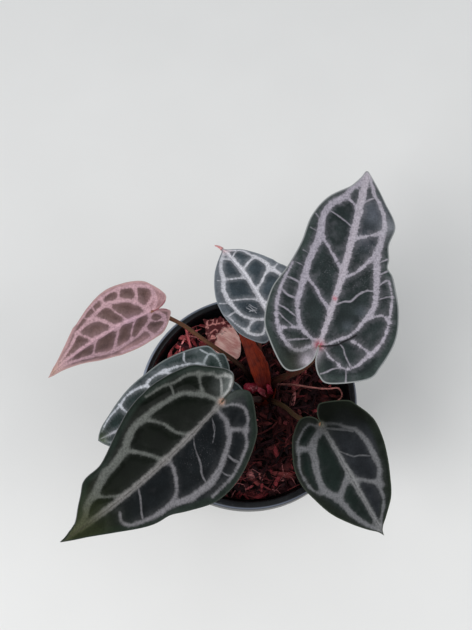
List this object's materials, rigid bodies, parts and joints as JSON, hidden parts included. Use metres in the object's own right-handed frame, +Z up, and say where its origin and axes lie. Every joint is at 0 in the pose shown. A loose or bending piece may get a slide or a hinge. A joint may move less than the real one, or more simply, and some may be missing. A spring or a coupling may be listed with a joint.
{
  "type": "potted foliage plant",
  "caption": "Young aroid with heart-shaped, pale-veined leaves on arching petioles, growing from a short stem in coarse husk mix in a round, tapered nursery pot with a banded rim.",
  "frame": {"origin": "centre of the pot's flat underside, on the surface that the pot stands on", "axes": "+Z up along the pot's axis; +Y towards the far side, where the tall back leaf points; +X to the right as the picture sees the pot"},
  "size_m": [0.1536, 0.1591, 0.1446],
  "materials": {
    "pot_plastic": "satin black",
    "husk_mix": "rough, fibrous, red-brown",
    "pale_husk": "rough, salmon",
    "root": "matt",
    "stem": "rough brown",
    "bud": "satin crimson",
    "sheath": "dry, rust brown",
    "petiole": "satin, olive brown",
    "leaf_green": "velvety dark grey-green with silvery veins",
    "leaf_pink": "satin dusty pink with brown cells"
  },
  "bodies": {
    "root": {"nursery_pot": "pot_plastic", "potting_mix": "husk_mix", "large_husk_chip": "pale_husk", "surface_root": "root", "crown_stem": "stem", "crimson_bud": "bud", "rust_sheath": "sheath", "leaf_back_right": "leaf_green", "petiole_back_right": "petiole", "leaf_front_left": "leaf_green", "petiole_front_left": "petiole", "leaf_under_left": "leaf_green", "petiole_under_left": "petiole", "leaf_young_pink": "leaf_pink", "petiole_young_pink": "petiole", "leaf_back": "leaf_green", "petiole_back": "petiole", "leaf_front_right": "leaf_green", "petiole_front_right": "petiole"}
  },
  "joints": []
}
